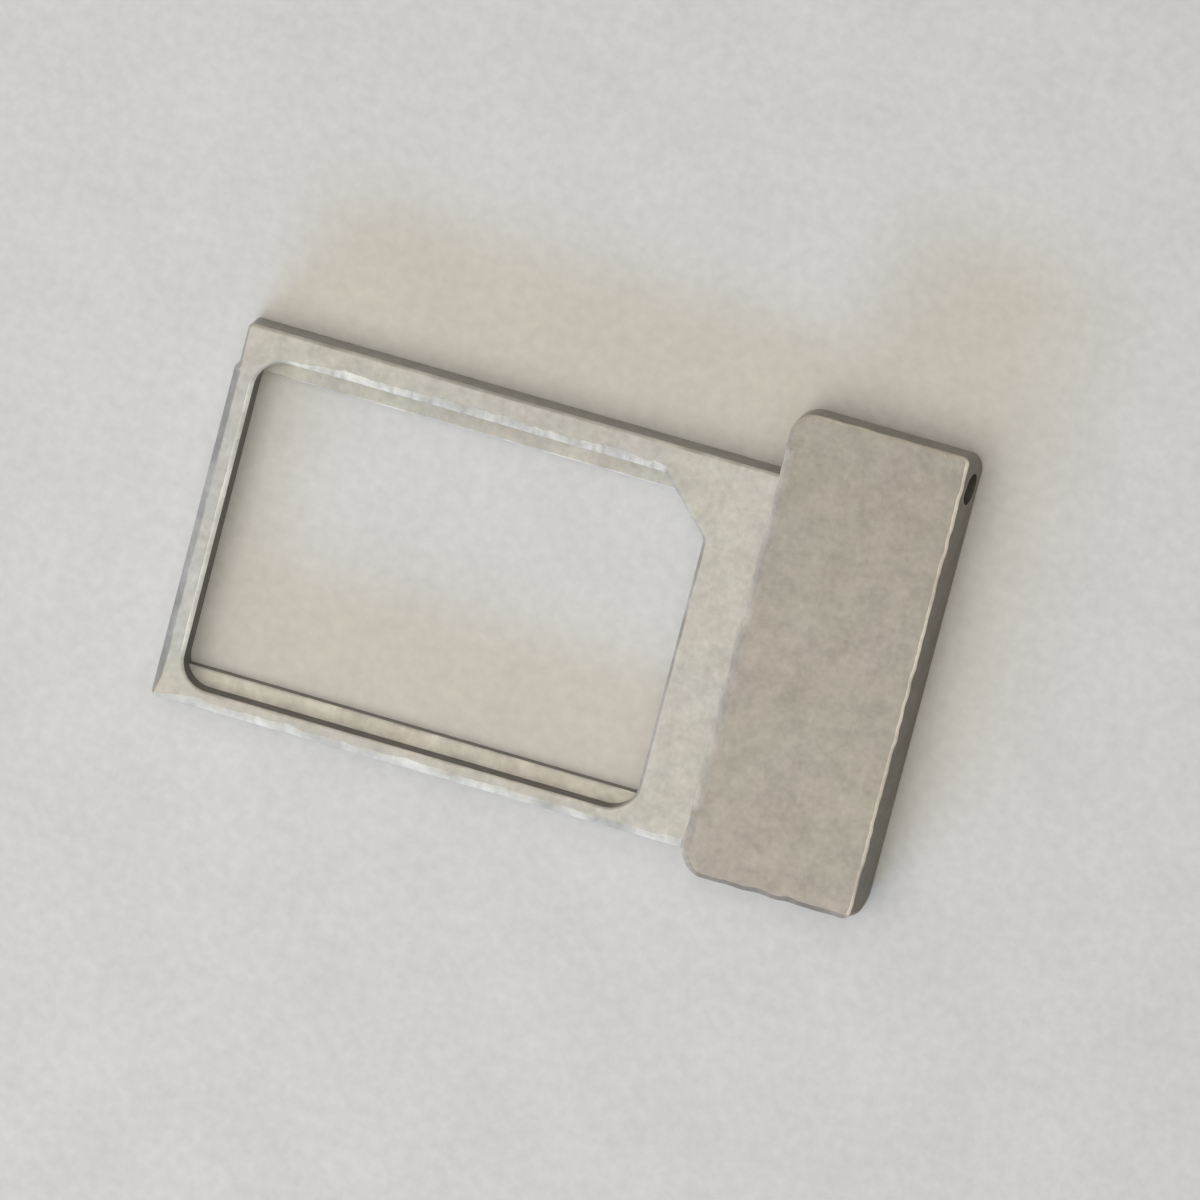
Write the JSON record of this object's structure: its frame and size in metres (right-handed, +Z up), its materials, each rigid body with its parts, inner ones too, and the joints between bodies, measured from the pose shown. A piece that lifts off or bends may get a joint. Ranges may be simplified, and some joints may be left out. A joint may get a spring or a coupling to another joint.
{
  "type": "sim card tray",
  "caption": "Flat metal card tray for a phone or tablet: an open frame that carries a nano SIM card on ledges, with a cut corner and a thicker head that closes the slot.",
  "frame": {"origin": "middle of the tray's footprint, on the plane of its underside", "axes": "+X along the tray from its tip to its head, +Y across it to the side with the cut corner, +Z up out of the card pocket"},
  "size_m": [0.0194, 0.0126, 0.0016],
  "materials": {
    "aluminium_body": "satin"
  },
  "bodies": {
    "root": {"sim_tray": "aluminium_body"}
  },
  "joints": []
}
